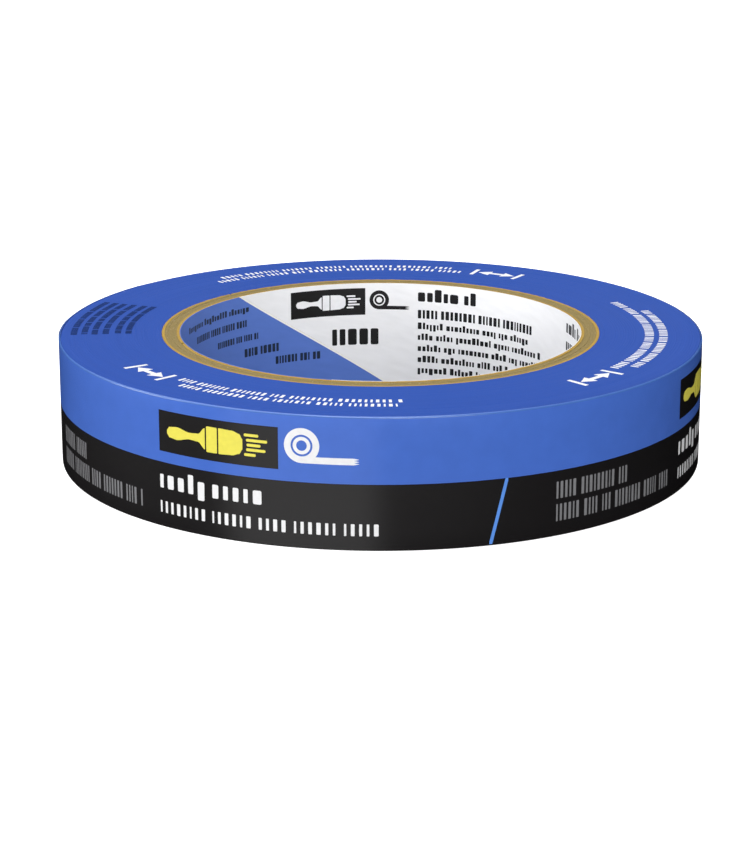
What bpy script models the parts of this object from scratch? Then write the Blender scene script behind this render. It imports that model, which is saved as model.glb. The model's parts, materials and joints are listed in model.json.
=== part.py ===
"""A roll of painter's masking tape, standing on its bottom face with its axis on Z.

The core is a paper liner and six plies of board, each wound in a helix and cut to length. One strip of tape
is wound on it; its last turn and its free end are separate solids. A printed paper label goes round the
outside and closes with a tab, which laps over the label's own start. The tab and the free end of the tape
lift off on hinges parallel to the roll's axis.
"""

import math

import bmesh
import bpy
from mathutils import Matrix, Vector

MM = 0.001

# Driving dimensions
TAPE_WIDTH = 24.0 * MM
BORE_R = 38.1 * MM  # a 3 inch core
CORE_R = 41.6 * MM
ROLL_R = 61.0 * MM  # outside of the label
TAPE_T = 0.114 * MM
LABEL_T = 0.09 * MM
LABEL_INSET = 0.05 * MM  # from each edge of the tape to the label's edge
LAYER_GAP = 0.05 * MM  # between one layer of paper and the next
LINER_T = 0.1 * MM
GLUE_GAP = 0.04 * MM  # the glue line between two plies
PLY_COUNT = 6
SEAM_SLIT = 0.3 * MM  # the width of a butt seam, round the ply
HINGE_GAP = 0.2 * MM  # the crease between two parts of one sheet

# All round pieces share these facets, so that their flat sides stay parallel
FACETS = 96
SEAM_FACETS = 15  # how far round a seam goes from the bottom face to the top face
PLY_STAGGER_FACETS = 16  # from one ply's seam to the next
SPARE_FACETS = 1.5  # the winding starts and ends this far outside the cut length

# Where the sheets begin, bend and end, in facets counted anticlockwise from +X
LINER_START = 20
TAB_HINGE = 39
TAIL_HINGE = 40
TAIL_PART_FACETS = 2
TAB_PART_FACETS = 2
TAB_PARTS = 5
LAP_PARTS = 2  # of the tab's parts, those that lie one layer up
LABEL_START = 47

# Sizes that follow
LABEL_INNER_R = ROLL_R - LABEL_T
OUTER_TURN_R = LABEL_INNER_R - LAYER_GAP
OUTER_TURN_INNER_R = OUTER_TURN_R - TAPE_T
WOUND_R = OUTER_TURN_INNER_R - LAYER_GAP
LAP_INNER_R = ROLL_R + LAYER_GAP
LAP_R = LAP_INNER_R + LABEL_T
PLY_T = (CORE_R - BORE_R - LINER_T) / PLY_COUNT - GLUE_GAP
FACET_ANGLE = 2 * math.pi / FACETS
SMOOTH_ANGLE = math.radians(30)
MERGE = 0.001 * MM

COLLECTION_NAME = "masking_tape_roll"
CUTTER_COLLECTION_NAME = "cutters"


def clear_scene():
    for obj in list(bpy.data.objects):
        bpy.data.objects.remove(obj, do_unlink=True)


def new_collection(name):
    collection = bpy.data.collections.new(name)
    bpy.context.scene.collection.children.link(collection)
    return collection


def new_material(name, color, roughness, metallic=0.0):
    material = bpy.data.materials.new(name)
    material.use_nodes = True
    shader = material.node_tree.nodes["Principled BSDF"]
    shader.inputs["Base Color"].default_value = (*color, 1.0)
    shader.inputs["Roughness"].default_value = roughness
    shader.inputs["Metallic"].default_value = metallic
    return material


def rectangle_profile(name, inner_r, outer_r, low, high):
    """A closed rectangle in the XZ plane that runs down its outer side, top to bottom."""
    corners = ((outer_r, high), (outer_r, low), (inner_r, low), (inner_r, high))
    bm = bmesh.new()
    verts = [bm.verts.new((x, 0, z)) for x, z in corners]
    for start, end in zip(verts, verts[1:] + verts[:1]):
        bm.edges.new((start, end))
    mesh = bpy.data.meshes.new(name)
    bm.to_mesh(mesh)
    bm.free()
    return mesh


def baked_mesh(obj):
    """The object's mesh as its modifiers leave it."""
    graph = bpy.context.evaluated_depsgraph_get()
    return bpy.data.meshes.new_from_object(obj.evaluated_get(graph))


def close_ends(mesh):
    """Caps the two open ends of a sweep."""
    bm = bmesh.new()
    bm.from_mesh(mesh)
    bmesh.ops.holes_fill(bm, edges=bm.edges, sides=4)
    bmesh.ops.recalc_face_normals(bm, faces=bm.faces)
    bm.to_mesh(mesh)
    bm.free()


def swept_sheet(name, radii, heights, start, facets, rise=0.0):
    """A sheet bent round the Z axis, from facet number start for a number of facets, climbing by rise."""
    mesh = rectangle_profile(name, radii[0], radii[1], heights[0], heights[1])
    obj = bpy.data.objects.new(name, mesh)
    parts.objects.link(obj)
    screw = obj.modifiers.new("bend_round_axis", "SCREW")
    screw.angle = facets * FACET_ANGLE
    screw.steps = max(1, round(facets))
    screw.render_steps = screw.steps
    screw.screw_offset = rise
    screw.use_merge_vertices = True
    screw.merge_threshold = MERGE
    obj.rotation_euler.z = start * FACET_ANGLE
    bpy.context.view_layer.update()
    if facets == FACETS and rise == 0:
        return obj
    obj.data = baked_mesh(obj)
    obj.modifiers.clear()
    close_ends(obj.data)
    return obj


def finish(obj, material):
    obj.data.materials.append(material)
    obj.data.shade_smooth()
    obj.data.set_sharp_from_angle(angle=SMOOTH_ANGLE)
    return obj


def make_length_cutter():
    """A block as tall as the roll: what lies inside it is the part of a long tube that is kept."""
    bpy.ops.mesh.primitive_cube_add(size=1, location=(0, 0, TAPE_WIDTH / 2))
    cutter = bpy.context.object
    cutter.name = "cut_to_length"
    cutter.scale = (3 * ROLL_R, 3 * ROLL_R, TAPE_WIDTH)
    for collection in list(cutter.users_collection):
        collection.objects.unlink(cutter)
    cutters.objects.link(cutter)
    cutter.hide_render = True
    cutter.display_type = "WIRE"
    return cutter


def make_spiral_ply(name, inner_r, thickness, start, material):
    """A strip wound in a helix, whose edges meet in a slanted butt seam, cut to the roll's width."""
    facet_rise = TAPE_WIDTH / SEAM_FACETS
    pitch = facet_rise * FACETS
    slit = SEAM_SLIT * pitch / (2 * math.pi * inner_r)
    top = -SPARE_FACETS * facet_rise
    facets = FACETS + SEAM_FACETS + round(2 * SPARE_FACETS)
    radii = (inner_r, inner_r + thickness)
    heights = (top - pitch + slit, top)
    ply = swept_sheet(name, radii, heights, start, facets, facets * facet_rise)
    cut = ply.modifiers.new("cut_to_length", "BOOLEAN")
    cut.operation = "INTERSECT"
    cut.object = length_cutter
    return finish(ply, material)


def make_core():
    """The printed liner, then the plies from the bore outwards: kraft inside and outside, grey board between."""
    liner_paper = new_material("liner_paper", (0.86, 0.86, 0.86), 0.55)
    kraft = new_material("kraft_ply", (0.45, 0.29, 0.10), 0.85)
    board = new_material("board_ply", (0.34, 0.27, 0.13), 0.9)
    make_spiral_ply("core_liner", BORE_R, LINER_T, LINER_START, liner_paper)
    for number in range(1, PLY_COUNT + 1):
        inner_r = BORE_R + LINER_T + GLUE_GAP + (number - 1) * (PLY_T + GLUE_GAP)
        start = (LINER_START + number * PLY_STAGGER_FACETS) % FACETS
        material = kraft if number in (1, PLY_COUNT) else board
        make_spiral_ply(f"core_ply_{number}", inner_r, PLY_T, start, material)


def place_on_hinge(obj, hinge_r, facet, parent=None):
    """Moves the object's origin to its hinge axis, without moving its surface."""
    angle = facet * FACET_ANGLE
    pivot = Vector((hinge_r * math.cos(angle), hinge_r * math.sin(angle), TAPE_WIDTH / 2))
    obj.data.transform(Matrix.Rotation(obj.rotation_euler.z, 4, "Z"))
    obj.rotation_euler.z = 0.0
    obj.data.transform(Matrix.Translation(-pivot))
    obj.location = pivot
    if parent is not None:
        obj.parent = parent
        obj.location = pivot - parent.matrix_world.translation
    bpy.context.view_layer.update()
    return obj


def hinged_sheet(name, radii, heights, start, end, parent, material):
    """One stiff part of a sheet that lifts about its start. A crease's width is left open at the start."""
    crease = HINGE_GAP / radii[1] / FACET_ANGLE
    sheet = swept_sheet(name, radii, heights, start + crease, end - start - crease)
    place_on_hinge(sheet, radii[1], start, parent)
    return finish(sheet, material)


def make_tape():
    """The wound turns as one body, the last turn, and the free end in three parts hinged to one another."""
    crepe = new_material("crepe_tape", (0.05, 0.10, 0.43), 0.6)
    whole = (0.0, TAPE_WIDTH)
    core_clear = CORE_R + GLUE_GAP
    finish(swept_sheet("tape_roll", (core_clear, WOUND_R), whole, 0, FACETS), crepe)
    radii = (OUTER_TURN_INNER_R, OUTER_TURN_R)
    tail_end = TAIL_HINGE + 3 * TAIL_PART_FACETS
    step_gap = HINGE_GAP / OUTER_TURN_R / FACET_ANGLE
    first = tail_end + step_gap
    turn = swept_sheet("tape_outer_turn", radii, whole, first, FACETS + TAIL_HINGE - first)
    finish(turn, crepe)
    parent = None
    for number, part in enumerate(("root", "middle", "tip")):
        start = TAIL_HINGE + number * TAIL_PART_FACETS
        end = start + TAIL_PART_FACETS
        parent = hinged_sheet(f"tape_tail_{part}", radii, whole, start, end, parent, crepe)


def make_label():
    """The printed band, and the tab that closes it in parts hinged to one another. The last ones lie one layer
    up, so that the tab laps over the band's start."""
    paper = new_material("label_paper", (0.07, 0.15, 0.57), 0.35)
    heights = (LABEL_INSET, TAPE_WIDTH - LABEL_INSET)
    band_radii = (LABEL_INNER_R, ROLL_R)
    lap_radii = (LAP_INNER_R, LAP_R)
    band_facets = FACETS + TAB_HINGE - LABEL_START
    finish(swept_sheet("wrap_label", band_radii, heights, LABEL_START, band_facets), paper)
    parent = None
    for number in range(TAB_PARTS):
        start = TAB_HINGE + number * TAB_PART_FACETS
        end = start + TAB_PART_FACETS
        radii = band_radii if number < TAB_PARTS - LAP_PARTS else lap_radii
        parent = hinged_sheet(f"label_tab_{number + 1}", radii, heights, start, end, parent, paper)


clear_scene()
parts = new_collection(COLLECTION_NAME)
cutters = new_collection(CUTTER_COLLECTION_NAME)
length_cutter = make_length_cutter()
make_core()
make_tape()
make_label()
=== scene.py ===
import json
import math

import bpy
import numpy as np
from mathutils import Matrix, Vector


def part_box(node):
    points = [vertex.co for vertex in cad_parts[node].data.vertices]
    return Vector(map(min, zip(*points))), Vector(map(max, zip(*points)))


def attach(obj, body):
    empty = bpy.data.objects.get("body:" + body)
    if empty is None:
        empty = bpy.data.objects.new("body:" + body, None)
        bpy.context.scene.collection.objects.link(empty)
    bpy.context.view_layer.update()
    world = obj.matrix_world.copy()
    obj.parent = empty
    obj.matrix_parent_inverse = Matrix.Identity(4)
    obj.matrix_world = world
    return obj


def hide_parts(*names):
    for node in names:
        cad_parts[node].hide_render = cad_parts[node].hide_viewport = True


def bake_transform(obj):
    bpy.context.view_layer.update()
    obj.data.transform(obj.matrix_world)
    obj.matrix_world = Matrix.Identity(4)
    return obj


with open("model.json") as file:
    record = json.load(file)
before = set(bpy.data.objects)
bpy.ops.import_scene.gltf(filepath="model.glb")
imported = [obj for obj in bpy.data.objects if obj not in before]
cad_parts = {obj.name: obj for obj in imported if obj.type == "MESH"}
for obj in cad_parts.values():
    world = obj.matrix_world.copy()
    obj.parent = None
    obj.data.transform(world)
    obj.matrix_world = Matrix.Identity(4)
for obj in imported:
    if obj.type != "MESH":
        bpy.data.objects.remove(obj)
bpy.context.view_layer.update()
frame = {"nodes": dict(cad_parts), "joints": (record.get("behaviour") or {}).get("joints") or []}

# The looks of a roll of painter's masking tape: the wound strip and its free end, the spiral core with its
# printed liner, and the printed label with its tab. Lengths are in metres. Angles are in degrees, seen from
# above, anticlockwise from +X.

MM = 0.001


# ---------------------------------------------------------------- places taken from the frame


def polar(node):
    """The radius and the angle (0 to 360) of each vertex of a CAD node."""
    mesh = frame["nodes"][node].data
    points = np.empty(len(mesh.vertices) * 3, np.float32)
    mesh.vertices.foreach_get("co", points)
    x, y = points.reshape(-1, 3).T[:2].astype(float)
    return np.hypot(x, y), np.degrees(np.arctan2(y, x)) % 360


def radii(node):
    radius = polar(node)[0]
    return radius.min(), radius.max()


def opening(node):
    """Where the widest gap round a nearly closed sheet starts and ends."""
    angles = np.sort(polar(node)[1])
    gap = np.argmax(np.diff(angles))
    return angles[gap], angles[gap + 1]


def hinge_angle(joint_name):
    joint = next(j for j in frame["joints"] if j["name"] == joint_name)
    x, y, _ = joint["pos_m"]
    return math.degrees(math.atan2(y, x)) % 360


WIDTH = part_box("tape_roll")[1].z
CORE_GAP_R, WOUND_R = radii("tape_roll")
TURN_INNER_R, TURN_R = radii("tape_outer_turn")
LABEL_INNER_R, LABEL_R = radii("wrap_label")
LAP_R = radii("label_tab_5")[1]
BORE_R = radii("core_liner")[0]
TAPE_T = TURN_R - TURN_INNER_R
LABEL_T = LABEL_R - LABEL_INNER_R
LABEL_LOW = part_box("wrap_label")[0].z
LABEL_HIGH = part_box("wrap_label")[1].z

TAB_BODIES = ("roll", *(f"label_tab_{part}" for part in range(1, 6)))
TAB_JOINTS = ("label_tab_peel", *(f"label_tab_bend_{part}" for part in range(2, 6)))
TAIL_BODIES = ("roll", "tape_tail_root", "tape_tail_middle", "tape_tail_tip")
TAIL_JOINTS = ("tape_tail_lift", "tape_tail_bend_middle", "tape_tail_bend_tip")
TAB_HINGES = [hinge_angle(name) for name in TAB_JOINTS]
TAIL_HINGES = [hinge_angle(name) for name in TAIL_JOINTS]
TAB_HINGE, LABEL_START = opening("wrap_label")
TAIL_HINGE, TURN_START = opening("tape_outer_turn")
TAB_END = polar("label_tab_5")[1].max()
TAIL_END = polar("tape_tail_tip")[1].max()


# ---------------------------------------------------------------- numbers


def smoothstep(x):
    x = np.clip(x, 0.0, 1.0)
    return x * x * (3 - 2 * x)


def steps(start, end, step):
    """Evenly spaced values from start to end, no further apart than step."""
    return np.linspace(start, end, max(1, math.ceil(abs(end - start) / step - 1e-6)) + 1)


def waves(seed, count, shortest, longest, slant=0.0):
    """A repeatable sum of sine waves over (x, y): mostly along x, with crests that lean by about slant."""
    rng = np.random.default_rng(seed)
    length = np.exp(rng.uniform(math.log(shortest), math.log(longest), count))
    phase = rng.uniform(0, 2 * math.pi, count)
    lean = rng.normal(0, slant, count) if slant else np.zeros(count)

    def height(x, y=0.0):
        x = np.asarray(x, float)[..., None]
        y = np.asarray(y, float)[..., None]
        return np.sin(2 * math.pi * (x + lean * y) / length + phase).sum(-1) / math.sqrt(count / 2)

    return height


# ---------------------------------------------------------------- meshes

SHARP = 40.0  # edges with a larger angle than this are drawn sharp
NEVER_SHARP = 180.0


def fill_mesh(mesh, points, faces, slots, uvs):
    """slots holds each face's material, and uvs holds (u, v) for each point."""
    mesh.from_pydata(points, [], faces)
    mesh.polygons.foreach_set("material_index", slots)
    layer = mesh.uv_layers.new(name="sheet")
    corners = np.empty(len(mesh.loops), np.int32)
    mesh.loops.foreach_get("vertex_index", corners)
    layer.data.foreach_set("uv", uvs[corners].astype(np.float32).ravel())
    mesh.shade_smooth()


def new_object(name, mesh, sharp=SHARP):
    mesh.set_sharp_from_angle(angle=math.radians(sharp))
    obj = bpy.data.objects.new(name, mesh)
    bpy.context.scene.collection.objects.link(obj)
    return obj


def facing_out(flat, quads, faces):
    """The faces, turned over if the volume that the quads enclose comes out negative."""
    a, b, c = (flat[quads[:, k]] for k in (0, 1, 2))
    if np.einsum("ij,ij->", a, np.cross(b, c)) < 0:
        return [face[::-1] for face in faces]
    return faces


def sheet_uvs(points):
    """(round the roll, round the section) in millimetres, for each point of a grid."""
    across, around = points.shape[:2]
    reach = np.hypot(points[..., 0], points[..., 1]).mean()
    turn = np.unwrap(np.arctan2(points[:, 0, 1], points[:, 0, 0]))
    section = np.linalg.norm(np.diff(points[0], axis=0, append=points[0, :1]), axis=1)
    along = np.repeat(turn * reach, around)
    down = np.tile(np.concatenate(([0], np.cumsum(section)[:-1])), across)
    return np.stack((along, down), 1) / MM


def grid_object(name, points, slots, closed, materials, sharp=SHARP):
    """A tube of quads. points[i, j] runs round the roll with i and round the section with j. slots holds a
    material for each j. A tube that isn't closed has a flat face at each end."""
    across, around = points.shape[:2]
    flat = points.reshape(-1, 3)
    columns = np.arange(across if closed else across - 1)
    i, j = (grid.ravel() for grid in np.meshgrid(columns, np.arange(around), indexing="ij"))
    ahead = (i + 1) % across * around
    beside = (j + 1) % around
    quads = np.stack((i * around + j, ahead + j, ahead + beside, i * around + beside), 1)
    faces = quads.tolist()
    slot = list(np.asarray(slots)[j])
    if not closed:
        first_end = np.arange(around)
        last_end = first_end[::-1] + (across - 1) * around
        faces += [first_end.tolist(), last_end.tolist()]
        slot += [max(slots, key=list(slots).count)] * 2
    mesh = bpy.data.meshes.new(name)
    for material in materials:
        mesh.materials.append(material)
    fill_mesh(mesh, flat.tolist(), facing_out(flat, quads, faces), slot, sheet_uvs(points))
    return new_object(name, mesh, sharp)


def turned(angles, radius, height):
    """Points at each angle, from arrays of radius and height shaped (angles, section) or (section,)."""
    angles = np.radians(np.asarray(angles, float))
    if angles.ndim == 1:
        angles = angles[:, None]
    return cylinder_points(angles, radius, height)


def cylinder_points(angle, radius, height):
    """Points from an angle in radians, a radius and a height, each a number or an array."""
    radius, height, angle = np.broadcast_arrays(radius, height, angle)
    return np.stack((radius * np.cos(angle), radius * np.sin(angle), height), -1)


# ---------------------------------------------------------------- materials


class Shader:
    """A small helper that adds nodes to one material and joins them."""

    def __init__(self, name):
        self.material = bpy.data.materials.new(name)
        self.material.use_nodes = True
        self.tree = self.material.node_tree
        self.surface = self.tree.nodes["Principled BSDF"]

    @classmethod
    def on_tree(cls, tree):
        """The same helper for a tree that has no surface."""
        helper = cls.__new__(cls)
        helper.tree = tree
        return helper

    def add(self, kind, settings=None, **inputs):
        node = self.tree.nodes.new(kind)
        for key, value in (settings or {}).items():
            setattr(node, key, value)
        for key, value in inputs.items():
            self.feed(node, key, value)
        return node

    def feed(self, node, key, value):
        """key is an input's name, or in0, in1 for an input by its number."""
        number = key[2:]
        socket = node.inputs[int(number)] if key.startswith("in") and number.isdigit() else node.inputs[key]
        if isinstance(value, bpy.types.NodeSocket):
            self.tree.links.new(value, socket)
        else:
            socket.default_value = value

    def math(self, operation, a, b=0.0, c=0.0):
        return self.add("ShaderNodeMath", {"operation": operation}, in0=a, in1=b, in2=c).outputs[0]

    def blend_values(self, factor, first, second):
        return self.add("ShaderNodeMix", in0=factor, in2=first, in3=second).outputs[0]

    def noise(self, vector, scale, detail=2.0, roughness=0.5):
        settings = {"noise_dimensions": "3D"}
        inputs = {"Vector": vector, "Scale": scale, "Detail": detail, "Roughness": roughness}
        return self.add("ShaderNodeTexNoise", settings, **inputs).outputs["Fac"]

    def spread(self, value, low, high, out_low, out_high):
        """value from low..high, remapped to out_low..out_high."""
        node = self.add("ShaderNodeMapRange", {"clamp": True})
        for index, number in enumerate((value, low, high, out_low, out_high)):
            self.feed(node, f"in{index}", number)
        return node.outputs[0]

    def stretch(self, vector, sizes_mm):
        """The vector, scaled so that one unit is the given size along each axis."""
        scale = [1.0 / size for size in sizes_mm]
        return self.add("ShaderNodeMapping", Vector=vector, Scale=scale).outputs[0]

    def sheet_coordinates(self):
        """(round the roll, round the section) in millimetres."""
        return self.add("ShaderNodeUVMap", {"uv_map": "sheet"}).outputs[0]

    def object_coordinates(self):
        """(x, y, z) in millimetres."""
        place = self.add("ShaderNodeTexCoord").outputs["Object"]
        return self.add("ShaderNodeVectorMath", {"operation": "SCALE"}, in0=place, Scale=1 / MM).outputs[0]

    def ring_coordinates(self, radius_mm):
        """(radius, arc, height) in millimetres, for surfaces that go round the Z axis."""
        x, y, z = self.add("ShaderNodeSeparateXYZ", in0=self.object_coordinates()).outputs
        square = self.math("MULTIPLY_ADD", x, x, self.math("MULTIPLY", y, y))
        radius = self.math("SQRT", square)
        arc = self.math("MULTIPLY", self.math("ARCTAN2", y, x), radius_mm)
        return self.add("ShaderNodeCombineXYZ", in0=radius, in1=arc, in2=z).outputs[0]

    def tint(self, color, value, low, high):
        """color, made darker and lighter by value (0..1) from low to high."""
        gain = self.spread(value, 0.25, 0.75, low, high)
        gray = self.add("ShaderNodeCombineColor", in0=gain, in1=gain, in2=gain).outputs[0]
        node = self.add("ShaderNodeMix", {"data_type": "RGBA", "blend_type": "MULTIPLY"})
        node.inputs[0].default_value = 1.0
        self.feed(node, "in6", (*color, 1.0))
        self.feed(node, "in7", gray)
        return node.outputs[2]

    def mix_colors(self, factor, first, second):
        node = self.add("ShaderNodeMix", {"data_type": "RGBA"})
        self.feed(node, "in0", factor)
        self.feed(node, "in6", first if isinstance(first, bpy.types.NodeSocket) else (*first, 1.0))
        self.feed(node, "in7", second if isinstance(second, bpy.types.NodeSocket) else (*second, 1.0))
        return node.outputs[2]

    def bump(self, height, depth_mm):
        node = self.add("ShaderNodeBump", Height=height, Distance=depth_mm * MM, Strength=1.0)
        self.feed(self.surface, "Normal", node.outputs[0])

    def finish(self, color, roughness, specular=0.5, coat=0.0, coat_roughness=0.2):
        self.feed(self.surface, "Base Color", color)
        self.feed(self.surface, "Roughness", roughness)
        self.feed(self.surface, "Specular IOR Level", specular)
        self.feed(self.surface, "Coat Weight", coat)
        self.feed(self.surface, "Coat Roughness", coat_roughness)
        return self.material


def printed_paper(name, color, roughness=0.42, specular=0.15, coat=0.6):
    """Calendered label paper under printing ink: a faint mottle, and a fine fibre grain in the gloss."""
    shader = Shader(name)
    place = shader.sheet_coordinates()
    mottle = shader.noise(shader.stretch(place, (3.5, 3.5, 1)), 1.0, 3.0)
    grain = shader.noise(shader.stretch(place, (0.5, 0.16, 1)), 1.0, 4.0, 0.6)
    shader.bump(grain, 0.012)
    rough = shader.spread(grain, 0.3, 0.7, roughness - 0.06, roughness + 0.08)
    return shader.finish(shader.tint(color, mottle, 0.965, 1.035), rough, specular, coat, 0.17)


def ink(name, color, roughness=0.4, specular=0.2, coat=0.5):
    """Printing ink: slightly uneven cover, with the paper's grain showing in its gloss."""
    shader = Shader(name)
    place = shader.object_coordinates()
    cover = shader.noise(place, 1.1, 3.0)
    grain = shader.noise(place, 3.2, 3.0, 0.6)
    shader.bump(grain, 0.008)
    rough = shader.spread(grain, 0.3, 0.7, roughness - 0.06, roughness + 0.08)
    return shader.finish(shader.tint(color, cover, 0.95, 1.03), rough, specular, coat, 0.18)


def bare_paper(name, color):
    """Unprinted paper: the label's back, the cut edges of the label and the liner's bare seam."""
    shader = Shader(name)
    place = shader.object_coordinates()
    fibre = shader.noise(shader.stretch(place, (0.35, 0.35, 0.9)), 1.0, 5.0, 0.65)
    shader.bump(fibre, 0.02)
    return shader.finish(shader.tint(color, fibre, 0.93, 1.03), 0.75, 0.25)


def crepe_paper(name, color):
    """The tape's back: crepe paper with a saturant, a little glossy on the crests of its wrinkles."""
    shader = Shader(name)
    place = shader.sheet_coordinates()
    wrinkle = shader.noise(shader.stretch(place, (0.42, 2.6, 1)), 1.0, 3.0, 0.55)
    fibre = shader.noise(shader.stretch(place, (0.12, 0.2, 1)), 1.0, 2.0)
    height = shader.math("MULTIPLY_ADD", fibre, 0.25, wrinkle)
    shader.bump(height, 0.05)
    rough = shader.spread(wrinkle, 0.3, 0.7, 0.62, 0.42)
    return shader.finish(shader.tint(color, height, 0.82, 1.12), rough, 0.35)


def adhesive(name, color):
    """The tape's sticky side: paper that shows through a thin clear coat of rubber adhesive."""
    shader = Shader(name)
    place = shader.sheet_coordinates()
    streak = shader.noise(shader.stretch(place, (0.6, 3.0, 1)), 1.0, 3.0, 0.55)
    shader.bump(streak, 0.03)
    return shader.finish(shader.tint(color, streak, 0.9, 1.06), 0.34, 0.5, 0.5, 0.16)


def wound_edges(name, color):
    """The stacked edges of the wound turns, each a slightly different tone, with wider bands over them."""
    shader = Shader(name)
    place = shader.ring_coordinates(WOUND_R / MM)
    turn = shader.noise(shader.stretch(place, (0.22, 60.0, 1e6)), 1.0, 1.0, 0.6)
    band = shader.noise(shader.stretch(place, (2.2, 90.0, 1e6)), 1.0, 2.0, 0.5)
    fibre = shader.noise(shader.object_coordinates(), 7.0, 3.0, 0.6)
    coarse = shader.math("MULTIPLY_ADD", fibre, 0.25, shader.math("MULTIPLY", band, 0.25))
    tone = shader.math("MULTIPLY_ADD", turn, 0.5, coarse)
    shader.bump(tone, 0.02)
    rough = shader.spread(fibre, 0.3, 0.7, 0.5, 0.62)
    return shader.finish(shader.tint(color, tone, 0.9, 1.07), rough, 0.1)


def board(name, color, dark, fleck=0.0):
    """A ply of paperboard, cut across: fibres that run round the core, and flecks in gray board."""
    shader = Shader(name)
    place = shader.ring_coordinates(BORE_R / MM)
    layer = shader.noise(shader.stretch(place, (0.11, 2.2, 0.6)), 1.0, 4.0, 0.65)
    fuzz = shader.noise(shader.object_coordinates(), 5.5, 4.0, 0.7)
    fibre = shader.math("MULTIPLY_ADD", fuzz, 0.5, shader.math("MULTIPLY", layer, 0.5))
    tone = shader.mix_colors(shader.spread(fibre, 0.34, 0.62, 0.0, 1.0), dark, color)
    if fleck:
        spot = shader.noise(shader.object_coordinates(), 2.4, 1.0)
        cover = shader.spread(spot, 0.66, 0.74, 0.0, fleck)
        tone = shader.mix_colors(cover, tone, (0.62, 0.56, 0.42))
    shader.bump(shader.math("MULTIPLY_ADD", fuzz, 0.6, layer), 0.06)
    return shader.finish(tone, 0.92, 0.15)


label_blue = printed_paper("label_blue", (0.062, 0.158, 0.605))
# Painted shade: a darker, less saturated copy of the label's blue for the curl over its upper edge, so that
# the highlight on the curl reads pale
label_rim_shaded = printed_paper("label_rim_shaded", (0.060, 0.150, 0.475))
label_black = printed_paper("label_black", (0.0100, 0.0090, 0.0096))
label_back = bare_paper("label_back", (0.80, 0.80, 0.78))
label_edge = bare_paper("label_edge", (0.72, 0.76, 0.86))
crepe_blue = crepe_paper("crepe_blue", (0.045, 0.115, 0.470))
tape_glue = adhesive("tape_glue", (0.090, 0.190, 0.560))
# Painted shade: the wound edges' blue is darker than the tape's back, standing for the shadow between the
# turns' ridges
shaded_edge_blue = wound_edges("shaded_edge_blue", (0.0235, 0.0735, 0.352))
kraft = board("kraft", (0.50, 0.335, 0.085), (0.36, 0.22, 0.05))
gray_board = board("gray_board", (0.315, 0.240, 0.102), (0.225, 0.168, 0.063), 0.25)
liner_white = printed_paper("liner_white", (0.93, 0.93, 0.935), 0.45, 0.2, 0.0)
liner_blue = printed_paper("liner_blue", (0.105, 0.200, 0.600), 0.45, 0.2, 0.0)
liner_seam = bare_paper("liner_seam", (0.98, 0.965, 0.90))


# ---------------------------------------------------------------- the wound tape

WOUND_STATIONS = 144
WOUND_CORNER = 0.28 * MM  # the rounding at the outermost turns
WOUND_ROUNDING = 0.98  # of a full quarter circle, so that the corner keeps a finite slope
GROOVE = 0.028 * MM  # from a turn's ridge down to the dip beside it
TURN_SINK = 0.012 * MM  # how far a turn sits low at random, and half of how far it drifts
FACE_DRIFT = 0.004 * MM  # slow changes round the roll
HAIR = 0.0005 * MM  # from the CAD's wall round the core out to this one


def wound_profile():
    """The section of the wound tape: each turn's edge is a small ridge, slightly high or low."""
    count = round((WOUND_R - CORE_GAP_R) / TAPE_T)
    pitch = (WOUND_R - CORE_GAP_R) / count
    half_turn = np.arange(2 * count)
    turn = half_turn // 2
    radius = CORE_GAP_R + pitch * (half_turn + 0.5) / 2
    offset = waves(11, 9, 3.0, 40.0)
    jitter = np.random.default_rng(12).uniform(0, TURN_SINK, count)
    sink = TURN_SINK * (1 + np.tanh(offset(turn))) + jitter[turn]
    groove = np.where(half_turn % 2 == 0, 0.0, GROOVE)
    into_corner = np.clip((radius - (WOUND_R - WOUND_CORNER)) / WOUND_CORNER, 0, 1)
    rounding = WOUND_CORNER * (1 - np.sqrt(1 - into_corner**2 * WOUND_ROUNDING))
    face = WIDTH - sink - groove - rounding
    wall = np.array((0.35, 0.65)) * WIDTH
    section_r = np.concatenate((radius, (WOUND_R,) * 2, radius[::-1], (CORE_GAP_R + HAIR,) * 2))
    section_z = np.concatenate((face, wall[::-1], WIDTH - face[::-1], wall))
    return section_r, section_z


def make_wound_tape():
    radius, height = wound_profile()
    angles = np.arange(WOUND_STATIONS) * 360.0 / WOUND_STATIONS
    phase = np.sin(np.radians(angles * 3))[:, None]
    side = np.sign(height - WIDTH / 2)
    drift = FACE_DRIFT * phase * side * np.sin(radius / MM * 1.3 + phase)
    points = turned(angles, radius, height - np.abs(drift) * side)
    wall = radius >= WOUND_R - 1e-6
    slots = np.where(wall | np.roll(wall, -1), 1, 0).tolist()
    obj = grid_object("wound_tape", points, slots, True, [shaded_edge_blue, crepe_blue], NEVER_SHARP)
    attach(obj, "roll")
    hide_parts("tape_roll")


# ---------------------------------------------------------------- sheets of tape and of label paper

EDGE_ROLL = 0.32 * MM  # how far the label is rubbed down over the roll's edge
EDGE_ROLL_START = 1.0  # degrees from the label's ends in which it isn't
EDGE_ROLL_FADE = 10.0  # degrees after that in which the rubbing fades in
EDGE_CLEARANCE = 0.04 * MM  # the tape under the label is cut back by this much less than that
LABEL_EDGE = 1.1 * LABEL_T  # the radius of an edge that isn't rubbed down
CREPE_DEPTH = 0.011 * MM
CREPE_LIMIT = 0.02 * MM

FIRST_BEND = 3.4  # degrees of sheet that bend across the hinge on the roll: more would dip into the roll
BEND = 6.0  # the same across the other hinges
ROLL_STEP = 0.5  # degrees from one station to the next, on the roll
SHEET_STEP = 0.14  # on a free end
BEND_STEP = 0.1  # across a hinge
ROLL_ROWS = 40  # rows of points across the strip of tape, on the roll
FREE_ROWS = 120  # on its free end

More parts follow.
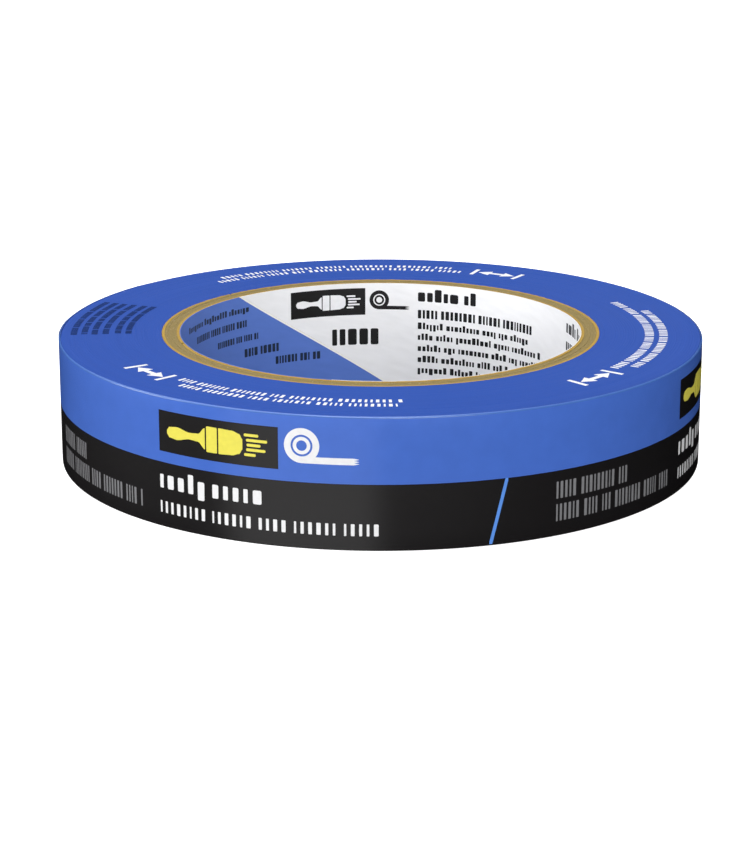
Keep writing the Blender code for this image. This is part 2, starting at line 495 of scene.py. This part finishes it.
CLIMB_FOOT = LABEL_START - 9.0  # where the tab starts to climb on to the label's own start
CLIMB_HEAD = LABEL_START - 1.5

crepe_relief = waves(21, 26, 0.34, 1.5, 0.05)


def under_label(angle):
    """1 where the label is rubbed down over the roll's edges, falling to 0 at the label's two ends."""
    past_start = (np.asarray(angle, float) - LABEL_START) % 360
    length = (TAB_HINGE - LABEL_START) % 360
    nearest = np.minimum(past_start, length - past_start)
    return smoothstep((nearest - EDGE_ROLL_START) / EDGE_ROLL_FADE)


def tape_sheet(name, start, end, step, rows=FREE_ROWS):
    """A stretch of the tape's strip: crepe outside, adhesive inside, cut edges."""
    angles = steps(start, end, step)
    trim = (EDGE_ROLL - EDGE_CLEARANCE) * under_label(angles)[:, None]
    share = np.linspace(0, 1, rows)[None, :]
    height = trim + share * (WIDTH - 2 * trim)
    arc = np.radians(angles)[:, None] * TURN_R / MM
    relief = CREPE_DEPTH * crepe_relief(arc + 0 * height, height / MM)
    relief = np.clip(relief, -CREPE_LIMIT, CREPE_LIMIT)
    outer = TURN_R + relief
    inner = TURN_INNER_R + relief * 0.5
    radius = np.concatenate((outer, inner[:, ::-1]), 1)
    heights = np.concatenate((height, height[:, ::-1]), 1)
    slots = [0] * (rows - 1) + [2] + [1] * (rows - 1) + [2]
    points = turned(angles, radius, heights)
    obj = grid_object(name, points, slots, False, [crepe_blue, tape_glue, shaded_edge_blue])
    return obj


def make_free_end(make_sheet, bodies, hinges, end):
    """A free end in parts: across each hinge a stretch that stays where it is made, on no body, then a
    stretch that keeps its shape and goes with the next body.
    """
    reach = [FIRST_BEND / 2] + [BEND / 2] * (len(hinges) - 1)
    starts = [hinge - half for hinge, half in zip(hinges, reach)] + [end]
    for number, hinge in enumerate(hinges):
        body = bodies[number + 1]
        start = starts[number]
        stop = hinge + reach[number]
        bend = make_sheet(f"{body}_bend", start, stop, BEND_STEP)
        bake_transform(bend)
        rest = make_sheet(f"{body}_sheet", stop, starts[number + 1], SHEET_STEP)
        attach(rest, body)
        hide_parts(body)


def make_tape_end():
    turn = tape_sheet("last_turn", TURN_START, TAIL_HINGE + 360 - FIRST_BEND / 2, ROLL_STEP, ROLL_ROWS)
    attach(turn, "roll")
    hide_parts("tape_outer_turn")
    make_free_end(tape_sheet, TAIL_BODIES, TAIL_HINGES, TAIL_END)


LABEL_MATERIALS = [label_blue, label_black, label_back, label_edge, label_rim_shaded]
BLUE, BLACK, BACK, CUT, SHADED_RIM = range(5)


def label_section(radius, roll):
    """The label's section at each station, from its outer radius and from how far its edges curl in. It goes
    up the outside, over the upper edge, down the whole inside, and back up the outside's lower half."""
    radius = radius[:, None]
    roll = roll[:, None]
    inner_roll = roll - LABEL_T
    curl = np.radians(np.linspace(0, 90, 7))[None, :]
    middle = (LABEL_LOW + LABEL_HIGH) / 2
    reach = (LABEL_HIGH - middle) - roll
    wall = np.array((0.0, 0.35, 0.7))[None, :]
    outer_r = np.concatenate((radius + 0 * wall, radius - roll + roll * np.cos(curl)), 1)
    outer_z = np.concatenate((wall * reach, reach + roll * np.sin(curl)), 1)
    inner_r = np.concatenate((radius - LABEL_T + 0 * wall, radius - roll + inner_roll * np.cos(curl)), 1)
    inner_z = np.concatenate((wall * reach, reach + inner_roll * np.sin(curl)), 1)
    section_r = np.concatenate((outer_r, inner_r[:, :0:-1], inner_r, outer_r[:, :0:-1]), 1)
    section_z = np.concatenate((outer_z, inner_z[:, :0:-1], -inner_z, -outer_z[:, :0:-1]), 1) + middle
    half = outer_z.shape[1] - 1
    flat = wall.shape[1]
    # The curl over the upper edge takes the darker copy of the blue, which is painted shade
    upper = [BLUE] * flat + [SHADED_RIM] * (half - flat)
    slots = upper + [CUT] + [BACK] * (2 * half) + [CUT] + [BLACK] * half
    return section_r, section_z, slots


def tab_radius(angles):
    """The outside of the label's tab: it climbs on to the label's own start."""
    return LABEL_R + (LAP_R - LABEL_R) * smoothstep((angles - CLIMB_FOOT) / (CLIMB_HEAD - CLIMB_FOOT))


def label_sheet(name, start, end, step, tab=True):
    """A stretch of the label. Its tab isn't rubbed down over the roll's edges."""
    angles = steps(start, end, step)
    if tab:
        radius = tab_radius(angles)
        roll = np.full(len(angles), LABEL_EDGE)
    else:
        radius = np.full(len(angles), LABEL_R)
        roll = LABEL_EDGE + (EDGE_ROLL - LABEL_EDGE) * under_label(angles)
    section_r, section_z, slots = label_section(radius, roll)
    obj = grid_object(name, turned(angles, section_r, section_z), slots, False, LABEL_MATERIALS)
    return obj


def make_label():
    band = label_sheet("label_band", LABEL_START, TAB_HINGE + 360 - FIRST_BEND / 2, ROLL_STEP, tab=False)
    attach(band, "roll")
    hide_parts("wrap_label")
    make_free_end(label_sheet, TAB_BODIES, TAB_HINGES, TAB_END)


# ---------------------------------------------------------------- the core

PLY_COUNT = 6
SEAM_FOOT = 80.625  # where the liner's seam meets the bottom face
SEAM_TURN = 56.25  # how far round the seam has gone at the top face
SEAM_SLIT = 0.3 * MM
PLY_STAGGER = 60.0  # from one ply's seam to the next
PLY_LEVELS = (0.03, 0.10, 0.07, 0.12, 0.08, 0.04)  # how far each ply's cut ends lie below the faces, in mm
PLY_LIMIT = 0.25 * MM
LINER_SLIT = 0.04 * MM  # the liner's seam is closed: only a hairline shows
LINER_BLUE_SPAN = 120.0
LINER_BARE_EDGE = 1.2


def seam_angle(height, foot=SEAM_FOOT):
    return foot + SEAM_TURN * height / WIDTH


def spiral_ring(name, node, foot, slit, materials, rows, across, relief=None):
    """A ring cut from a spiral-wound strip, from one side of its slanted seam round to the other."""
    inner, outer = radii(node)
    half_slit = math.degrees(slit / inner) / 2
    turn = steps(half_slit, 360 - half_slit, 1.0)
    height = np.linspace(0, WIDTH, rows)
    depth = np.linspace(inner, outer, across)
    section_r = np.concatenate((np.full(rows, inner), depth[1:-1], np.full(rows, outer), depth[-2:0:-1]))
    section_z = np.concatenate((height, np.full(across - 2, WIDTH), height[::-1], np.zeros(across - 2)))
    angles = turn[:, None] + seam_angle(section_z, foot)[None, :]
    radius = np.broadcast_to(section_r, angles.shape)
    level = np.broadcast_to(section_z, angles.shape)
    if relief is not None:
        face = np.where(level > WIDTH * 0.999, 1.0, np.where(level < WIDTH * 0.001, -1.0, 0.0))
        level = level - face * relief(radius, angles)
    points = turned(angles, radius, level)
    obj = grid_object(name, points, [0] * len(section_r), False, materials)
    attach(obj, "roll")
    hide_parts(node)
    return obj


def ply_relief(number):
    """How far a ply's cut end lies below the face: a level for each ply, slow changes and rough fibres."""
    slow = waves(40 + number, 6, 60.0, 360.0)
    fibre = waves(60 + number, 14, 0.8, 6.0, 3.0)
    level = PLY_LEVELS[number - 1] * MM

    def relief(radius, angles):
        arc = angles * math.radians(1) * BORE_R / MM
        rough = 0.014 * MM * fibre(arc, radius / MM * 4)
        return np.clip(level + 0.01 * MM * slow(angles) + rough, 0.0, PLY_LIMIT)

    return relief


def paint_liner(obj):
    """Blue for a stretch anticlockwise of the seam, white for the rest, with a bare edge at the seam."""
    mesh = obj.data
    centre = np.empty(len(mesh.polygons) * 3, np.float32)
    mesh.polygons.foreach_get("center", centre)
    x, y, z = centre.reshape(-1, 3).T
    past_seam = (np.degrees(np.arctan2(y, x)) - seam_angle(z)) % 360
    slots = np.where(past_seam < LINER_BLUE_SPAN, 1, 0)
    bare = past_seam < LINER_BARE_EDGE
    mesh.polygons.foreach_set("material_index", np.where(bare, 2, slots).astype(np.int32))


def make_core():
    """The liner, then the plies from the bore outwards: kraft inside and outside, grey board between."""
    liner_materials = [liner_white, liner_blue, liner_seam]
    liner = spiral_ring("printed_liner", "core_liner", SEAM_FOOT, LINER_SLIT, liner_materials, 49, 3)
    paint_liner(liner)
    for number in range(1, PLY_COUNT + 1):
        outermost = number in (1, PLY_COUNT)
        node = f"core_ply_{number}"
        foot = SEAM_FOOT + PLY_STAGGER * number
        material = kraft if outermost else gray_board
        relief = ply_relief(number)
        ply = spiral_ring(f"board_ply_{number}", node, foot, SEAM_SLIT, [material], 25, 6, relief)


# ---------------------------------------------------------------- printing

INK_SINK = 0.02 * MM  # the foot of the ink below the paper's surface
INK_LIFT = 0.010 * MM  # the top of a first layer of ink above the paper
SECOND_LIFT = 0.028 * MM  # the top of ink that is printed over other ink
INK_STEP = 0.8 * MM  # from one point to the next along a bar, at most
FACE_MID_R = 52.5 * MM

# Metres in one degree round the label, round the face at its middle, and round the bore
LABEL_ARC = math.radians(1) * LABEL_R
FACE_ARC = math.radians(1) * FACE_MID_R
BORE_ARC = math.radians(1) * BORE_R


def on_label(x, y, lift):
    """x round the label's wall from angle 0, y up it."""
    return cylinder_points(x / LABEL_R, LABEL_R + lift, y)


def on_top(x, y, lift):
    """x round the top face at its middle radius, y out from the axis."""
    return cylinder_points(x / FACE_MID_R, y, WIDTH + lift)


def on_bottom(x, y, lift):
    """The same on the bottom face, seen from below."""
    return cylinder_points(-x / FACE_MID_R, y, -lift)


def in_bore(x, y, lift):
    """x round the bore, clockwise from above as a reader inside sees it, y up."""
    return cylinder_points(-x / BORE_R, BORE_R - lift, y)


class Print:
    """Ink of one colour on one surface: thin closed slabs, gathered into one object."""

    def __init__(self, name, place, material, lift=INK_LIFT):
        self.name = name
        self.place = place
        self.material = material
        self.lift = lift
        self.points = []
        self.faces = []

    def ribbon(self, first, second, closed=False):
        """A slab between two outlines, each a list of (x, y); closed joins its two ends."""
        base = sum(len(points) for points in self.points)
        n = len(first)
        rims = ((first, self.lift), (second, self.lift), (second, -INK_SINK), (first, -INK_SINK))
        corners = [self.place(*np.transpose(line), lift) for line, lift in rims]
        self.points.append(np.stack(corners, 1).reshape(-1, 3))
        for i in range(n if closed else n - 1):
            a = base + 4 * i
            b = base + 4 * ((i + 1) % n)
            self.faces += [(a + k, b + k, b + (k + 1) % 4, a + (k + 1) % 4) for k in range(4)]
        if not closed:
            last = base + 4 * n
            self.faces += [(base, base + 1, base + 2, base + 3), (last - 1, last - 2, last - 3, last - 4)]

    def strip(self, x, low, high):
        """A slab between a lower and an upper outline, given at each x."""
        self.ribbon(np.stack((x, low), 1), np.stack((x, high), 1))

    def shape(self, outline):
        """outline is a list of (x, low, high), joined by smooth curves."""
        keys = np.array(outline, float)
        stretches = zip(keys[:-1, 0], keys[1:, 0])
        x = np.unique(np.concatenate([steps(start, end, INK_STEP / 3) for start, end in stretches]))
        span = np.clip(np.searchsorted(keys[:, 0], x, side="right") - 1, 0, len(keys) - 2)
        share = smoothstep((x - keys[span, 0]) / (keys[span + 1, 0] - keys[span, 0]))
        low, high = (keys[span, k] + share * (keys[span + 1, k] - keys[span, k]) for k in (1, 2))
        self.strip(x, low, high)

    def bar(self, x0, x1, y0, y1, corner=0.0):
        """A rectangle with rounded corners."""
        corner = min(corner, (x1 - x0) * 0.45, (y1 - y0) * 0.45)
        middle = steps(x0 + corner, x1 - corner, INK_STEP)
        if not corner:
            self.strip(middle, np.full_like(middle, y0), np.full_like(middle, y1))
            return
        bend = np.radians(np.array((8, 35, 62)))
        inset = corner * (1 - np.sin(bend))
        drop = corner * (1 - np.cos(bend))
        x = np.concatenate((x0 + drop, middle, x1 - drop[::-1]))
        pull = np.concatenate((inset, np.zeros_like(middle), inset[::-1]))
        self.strip(x, y0 + pull, y1 - pull)

    def ring(self, x, y, radius, hole):
        around = np.linspace(0, 2 * math.pi, 49)[:-1]
        spoke = np.stack((np.cos(around), np.sin(around)), 1)
        self.ribbon((x, y) + radius * spoke, (x, y) + hole * spoke, closed=True)

    def words(self, x0, x1, y0, y1, seed, letters, mixed=False):
        """A line of small blocks that stands for words. letters holds a block's width, the gap to the next
        and the space between words, as shares of the line's height. In mixed lines the blocks are lower, and
        a few rise or hang further."""
        width, gap, space = letters
        rng = np.random.default_rng(seed)
        size = y1 - y0
        base, top = (y0 + 0.2 * size, y0 + 0.78 * size) if mixed else (y0, y1)
        x = x0
        left = rng.integers(4, 10)
        while x + 1.2 * width * size < x1:
            block = size * width * rng.uniform(0.6, 1.4)
            kind = rng.random() if mixed else 0.5
            high = y1 if kind > 0.78 else top
            low = y0 if kind < 0.1 else base
            self.bar(x, x + block, low, high, 0.2 * block)
            left -= 1
            x += block + (gap if left else space) * size
            left = left or rng.integers(3, 10)

    def done(self, slot):
        mesh = bpy.data.meshes.new(self.name)
        points = np.concatenate(self.points)
        mesh.materials.append(self.material)
        fill_mesh(mesh, points.tolist(), self.faces, [0] * len(self.faces), points[:, :2] / MM)
        obj = new_object(self.name, mesh)
        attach(obj, "roll")


ink_white = ink("ink_white", (0.92, 0.92, 0.93))
ink_yellow = ink("ink_yellow", (0.89, 0.80, 0.110))
ink_panel = ink("ink_panel", (0.0100, 0.0090, 0.0096))
ink_gray = ink("ink_gray", (0.235, 0.235, 0.245))
ink_stripe = ink("ink_stripe", (0.115, 0.315, 0.86))
matt_white = ink("matt_white", (0.92, 0.92, 0.93), coat=0.0)
matt_black = ink("matt_black", (0.011, 0.0105, 0.011), coat=0.0)
matt_navy = ink("matt_navy", (0.006, 0.024, 0.115), 0.6, 0.1, 0.0)
matt_slate = ink("matt_slate", (0.015, 0.026, 0.052), coat=0.0)


# ---------------------------------------------------------------- signs

# (x, half the height) along the brush, and (height, start, end) of each streak, in millimetres at full size
HANDLE = ((0.0, 0.3), (0.5, 0.95), (2.2, 1.15), (5.0, 0.6), (6.8, 0.72), (8.2, 1.9))
BRISTLES = ((10.95, 2.3), (13.6, 2.2), (15.0, 1.8), (15.6, 0.9))
STREAKS = (
    (1.75, 15.9, 18.6),
    (0.85, 16.3, 20.2),
    (0.0, 16.4, 19.0),
    (-0.85, 16.3, 19.9),
    (-1.75, 15.9, 18.1),
)


def draw_brush(ink_print, x, y, scale=1.0):
    """A flat paint brush lying on its side, and the streaks that it leaves."""
    unit = scale * MM
    for outline in (HANDLE, BRISTLES):
        ink_print.shape([(x + a * unit, y - b * unit, y + b * unit) for a, b in outline])
    ink_print.bar(x + 8.5 * unit, x + 10.65 * unit, y - 2.3 * unit, y + 2.3 * unit, 0.2 * unit)
    for height, start, end in STREAKS:
        middle = y + height * unit
        low, high = middle - 0.25 * unit, middle + 0.25 * unit
        ink_print.bar(x + start * unit, x + end * unit, low, high, 0.24 * unit)


def draw_roll_sign(ink_print, x, y, radius, length):
    """A plain sign for a roll of tape: a wound ring, its core, and a strip with a torn end."""
    ink_print.ring(x + radius, y, radius, 0.62 * radius)
    ink_print.ring(x + radius, y, 0.50 * radius, 0.30 * radius)
    low, high = y - radius, y - 0.62 * radius
    torn, tip = x + length - 0.9 * MM, x + length
    ink_print.bar(x + radius, torn, low, high)
    tooth = (high - low) / 3
    for row in range(3):
        foot = low + row * tooth
        middle = foot + tooth / 2
        ink_print.strip((torn, tip), (foot, middle - 0.02 * MM), (foot + tooth, middle + 0.02 * MM))


def draw_width_sign(ink_print, x):
    """The drawing sign for a width, on the face: a double arrow between two end bars."""
    middle = 52.3 * MM
    for start in (0.0, 9.8):
        ink_print.bar(x + start * MM, x + (start + 0.8) * MM, 50.0 * MM, 54.6 * MM)
    for left, right, left_half, right_half in ((1.3, 3.9, 0.05, 1.55), (6.7, 9.3, 1.55, 0.05)):
        across = x + np.array((left, right)) * MM
        reach = np.array((left_half, right_half)) * MM
        ink_print.strip(across, middle - reach, middle + reach)
    ink_print.bar(x + 3.95 * MM, x + 6.65 * MM, middle - 0.5 * MM, middle + 0.5 * MM)


def draw_stripe(ink_print, foot, head, width):
    """A slanted stripe from the label's foot to the middle of its wall, cut level at both ends."""
    low, high = LABEL_LOW + EDGE_ROLL, WIDTH / 2
    lean = (head - foot) / (high - low)
    x = steps(foot, head + width, 0.12 * MM)
    bottom = np.maximum(low, low + (x - foot - width) / lean)
    top = np.minimum(high, low + (x - foot) / lean)
    keep = top - bottom > 1e-6
    ink_print.strip(x[keep], bottom[keep], top[keep])


# ---------------------------------------------------------------- the three printed surfaces

# Each repeat of the label's print: where it starts, and how many degrees after that its two gray lines start
# and each of them ends
LABEL_UNITS = ((-163.5, 0.0, 13.0, 30.2), (-61.4, 1.4, 17.4, 30.4), (40.7, 0.0, 13.0, 30.2))
SIGNS_START = 34.3  # degrees from a repeat's start
GRAY_LETTERS = (0.145, 0.14, 0.4)
TITLE_LETTERS = (0.29, 0.22, 0.38)
SUBTITLE_LETTERS = (0.28, 0.36, 0.70)

# Each repeat of a face's print: where it starts, and where its inner and outer lines end
FACE_UNITS = ((-148.0, -84.6, -86.0), (-48.7, 26.0, 16.8), (56.8, 131.0, 129.0))
FACE_LINES_AFTER = 14.2  # degrees from a repeat's start
FACE_LETTERS = (0.28, 0.34, 0.7)
NOTE_RADII = (47.3, 49.3, 51.6, 53.7, 55.6, 57.6)  # the small print on the face, in millimetres
NOTE_LETTERS = (0.42, 0.2, 0.55)

LINER_PANEL_START = 118.6

# The liner's blocks of print: where each starts, and how many degrees it may go on. Then each line of its
# small print: its foot in millimetres, and its length in degrees
LINER_UNITS = ((78.4, 48.0), (17.7, 48.0), (-43.0, 48.0), (-103.7, 26.0))
LINER_LINES = ((14.2, 40.6), (11.9, 45.2), (9.55, 45.9), (7.2, 31.0), (4.9, 46.0))
NUMBER_LETTERS = (0.40, 0.16, 0.4)
HEADING_LETTERS = (0.42, 0.13, 0.4)
SECOND_LETTERS = (0.34, 0.17, 0.45)
SMALL_LETTERS = (0.34, 0.15, 0.45)

# The lines on the liner's blue part: start and end, and foot and top in millimetres
BLUE_LINES = (
    (167.2, 133.6, 20.3, 21.9),
    (160.6, 133.7, 17.6, 19.0),
    (148.1, 129.8, 14.6, 15.9),
    (136.0, 121.7, 11.3, 13.0),
    (124.1, 108.2, 8.6, 10.2),
)
BLUE_LETTERS = (0.36, 0.15, 0.45)


def print_label():
    """Three repeats, each with two gray lines, two signs, two white lines and a slanted stripe."""
    white = Print("label_print_white", on_label, ink_white)
    yellow = Print("label_print_yellow", on_label, ink_yellow, SECOND_LIFT)
    panel = Print("label_print_panel", on_label, ink_panel)
    gray = Print("label_print_gray", on_label, ink_gray)
    stripe = Print("label_print_stripe", on_label, ink_stripe)
    for number, unit in enumerate(LABEL_UNITS):
        start = unit[0]
        first, upper_end, lower_end = ((start + degrees) * LABEL_ARC for degrees in unit[1:])
        gray.words(first, upper_end, 6.9 * MM, 10.0 * MM, 100 + number, GRAY_LETTERS)
        gray.words(first, lower_end, 2.8 * MM, 5.9 * MM, 110 + number, GRAY_LETTERS)
        signs = (start + SIGNS_START) * LABEL_ARC
        panel.bar(signs, (start + 56.9) * LABEL_ARC, 14.0 * MM, 21.45 * MM)
        draw_brush(yellow, signs + 1.9 * MM, 17.75 * MM)
        draw_roll_sign(white, (start + 57.9) * LABEL_ARC, 18.5 * MM, 3.1 * MM, 13.0 * MM)
        title_end = (start + 54.5) * LABEL_ARC
        white.words(signs, title_end, 6.4 * MM, 10.7 * MM, 120, TITLE_LETTERS, mixed=True)
        white.words(signs, (start + 74.0) * LABEL_ARC, 2.75 * MM, 4.9 * MM, 130, SUBTITLE_LETTERS)
        draw_stripe(stripe, (start + 91.3) * LABEL_ARC, (start + 94.05) * LABEL_ARC, 0.64 * MM)
    for item in (white, yellow, panel, gray, stripe):
        item.done("label_paper")


def print_faces():
    """On each face three repeats of a sign and two white lines, and a patch of navy small print."""
    for side, place in (("top", on_top), ("bottom", on_bottom)):
        white = Print(f"face_print_white_{side}", place, matt_white)
        navy = Print(f"face_print_navy_{side}", place, matt_navy)
        for number, (start, inner_end, outer_end) in enumerate(FACE_UNITS):
            x = start * FACE_ARC
            draw_width_sign(white, x)
            line = x + FACE_LINES_AFTER * FACE_ARC
            next_line = line + 3 * FACE_ARC
            white.words(line, inner_end * FACE_ARC, 50.2 * MM, 51.9 * MM, 200 + number, FACE_LETTERS)
            white.words(next_line, outer_end * FACE_ARC, 52.9 * MM, 54.5 * MM, 210 + number, FACE_LETTERS)
        for row, radius in enumerate(NOTE_RADII):
            low, high = radius * MM, (radius + 1.2) * MM
            navy.words(158.6 * FACE_ARC, 185.0 * FACE_ARC, low, high, 220 + row, NOTE_LETTERS)
        white.done("crepe_tape")
        navy.done("crepe_tape")


def liner_place(degrees):
    """The x that in_bore puts at an angle from +X."""
    return -degrees * BORE_ARC


def print_liner():
    """The liner's print, read from inside: a panel with signs, and a block of small lines that repeats."""
    black = Print("liner_print_black", in_bore, matt_black)
    white = Print("liner_print_white", in_bore, matt_white, SECOND_LIFT)
    slate = Print("liner_print_slate", in_bore, matt_slate)
    panel = liner_place(LINER_PANEL_START)
    black.bar(panel, liner_place(94.7), 17.4 * MM, 23.0 * MM)
    draw_brush(white, panel + 1.2 * MM, 20.2 * MM, 0.68)
    draw_roll_sign(black, liner_place(93.4), 20.5 * MM, 2.0 * MM, 8.2 * MM)
    black.words(liner_place(105.1), liner_place(88.3), 11.1 * MM, 14.5 * MM, 301, NUMBER_LETTERS)
    for number, (start, reach) in enumerate(LINER_UNITS):
        print_liner_block(black, number, start, reach)
    for number, (first, last, low, high) in enumerate(BLUE_LINES):
        ends = (liner_place(first), liner_place(last))
        slate.words(*ends, low * MM, high * MM, 360 + number, BLUE_LETTERS, mixed=number == 0)
    for item in (black, white, slate):
        item.done("liner_paper")


def print_liner_block(black, number, start, reach):
    """A heading and the small print below it; no line goes further than reach degrees."""
    first = liner_place(start)
    heading_end = liner_place(start - min(20.8, reach))
    second_end = liner_place(start - min(41.0, reach))
    black.words(first, heading_end, 19.7 * MM, 23.0 * MM, 428 + number, HEADING_LETTERS, mixed=True)
    black.words(first, second_end, 16.8 * MM, 18.6 * MM, 320 + number, SECOND_LETTERS)
    for row, (foot, length) in enumerate(LINER_LINES):
        end = liner_place(start - min(length, reach))
        low = foot * MM
        seed = 330 + 5 * number + row
        black.words(first, end, low, low + 1.75 * MM, seed, SMALL_LETTERS, mixed=True)


# ---------------------------------------------------------------- the studio

FLOOR_GRAY = (0.26, 0.26, 0.26)
FLOOR_WHITE = (0.85, 0.85, 0.85)
FLOOR_GLOW = 0.85
FLOOR_DROP = 0.03 * MM  # the floor below the bottom face, whose ink stands out a little
SURROUND = 0.16
CEILING_GLOSS = 3.0
WINDOW_GLOSS = 0.95
CAMERA_PLACE = (0.0, -488.0 * MM, 146.7 * MM)
CAMERA_TARGET = (-1.05 * MM, 0.0, 4.65 * MM)
CAMERA_LENS = 111.4


def make_floor():
    """A white table. Its own glow keeps it white in the picture; the roll sees it as pale gray."""
    bpy.ops.mesh.primitive_plane_add(size=6.0, location=(0, 0, -FLOOR_DROP))
    floor = bpy.context.object
    floor.name = "floor"
    shader = Shader("floor_paint")
    cloud = shader.noise(shader.object_coordinates(), 0.004, 2.0)
    seen = shader.add("ShaderNodeLightPath").outputs["Is Camera Ray"]
    tone = shader.mix_colors(seen, FLOOR_GRAY, FLOOR_WHITE)
    shader.feed(shader.surface, "Emission Color", (1.0, 1.0, 1.0, 1.0))
    shader.feed(shader.surface, "Emission Strength", shader.math("MULTIPLY", seen, FLOOR_GLOW))
    rough = shader.spread(cloud, 0.3, 0.7, 0.85, 0.95)
    floor.data.materials.append(shader.finish(tone, rough, 0.0))
    floor.visible_glossy = False


def make_world():
    """White behind the roll, and a dim surround that lights it. In its gloss the roll sees a black room with
    two panels: a ceiling that fades to the right, and a tall one at the front left."""
    world = bpy.data.worlds.new("studio")
    bpy.context.scene.world = world
    world.use_nodes = True
    background = world.node_tree.nodes["Background"]
    room = Shader.on_tree(world.node_tree)
    ray = room.add("ShaderNodeLightPath").outputs
    direction = room.add("ShaderNodeTexCoord").outputs["Generated"]
    x, y, z = room.add("ShaderNodeSeparateXYZ", in0=direction).outputs
    above = room.spread(z, 0.40, 0.75, 0.0, CEILING_GLOSS)
    ceiling = room.math("MULTIPLY", above, room.spread(x, 0.5, -0.1, 0.0, 1.0))
    azimuth = room.math("ARCTAN2", y, x)
    left = room.spread(azimuth, math.radians(-150), math.radians(-140), 0.0, 1.0)
    right = room.spread(azimuth, math.radians(-86), math.radians(-96), 0.0, WINDOW_GLOSS)
    low = room.spread(z, 0.1, 0.0, 0.0, 1.0)
    window = room.math("MULTIPLY", room.math("MULTIPLY", left, right), low)
    gloss = room.math("ADD", ceiling, window)
    level = room.blend_values(ray["Is Glossy Ray"], SURROUND, gloss)
    level = room.blend_values(ray["Is Camera Ray"], level, 1.0)
    room.feed(background, "Strength", level)
    room.feed(background, "Color", (1.0, 1.0, 1.0, 1.0))


def add_softbox(name, azimuth, elevation, distance, size, power):
    """A rectangular lamp that faces the roll, placed by its direction from the middle of the roll."""
    data = bpy.data.lights.new(name, "AREA")
    data.shape = "RECTANGLE"
    data.size, data.size_y = size
    data.energy = power
    a, e = math.radians(azimuth), math.radians(elevation)
    away = Vector((math.cos(a) * math.cos(e), math.sin(a) * math.cos(e), math.sin(e)))
    lamp = bpy.data.objects.new(name, data)
    lamp.location = away * distance + Vector((0, 0, WIDTH / 2))
    lamp.rotation_euler = (-away).to_track_quat("-Z", "Y").to_euler()
    bpy.context.scene.collection.objects.link(lamp)
    return lamp


def make_lights():
    add_softbox("overhead_softbox", -95, 68, 0.85, (0.5, 0.4), 4.7)
    add_softbox("front_softbox", -74, 15, 1.1, (0.6, 0.5), 6.2)
    add_softbox("left_softbox", -177, 15, 1.1, (0.6, 0.5), 8.4)
    back = add_softbox("back_softbox", 75, 25, 1.1, (0.8, 0.5), 6.5)
    back.visible_glossy = False


def make_camera():
    data = bpy.data.cameras.new("camera")
    data.lens = CAMERA_LENS
    data.sensor_width = 36.0
    data.clip_start = 0.01
    data.clip_end = 20.0
    camera = bpy.data.objects.new("camera", data)
    camera.location = CAMERA_PLACE
    look = Vector(CAMERA_TARGET) - Vector(CAMERA_PLACE)
    camera.rotation_euler = look.to_track_quat("-Z", "Y").to_euler()
    bpy.context.scene.collection.objects.link(camera)
    bpy.context.scene.camera = camera


make_wound_tape()
make_tape_end()
make_label()
make_core()
print_label()
print_faces()
print_liner()
make_floor()
make_world()
make_lights()
make_camera()
bpy.context.scene.view_settings.view_transform = "Standard"
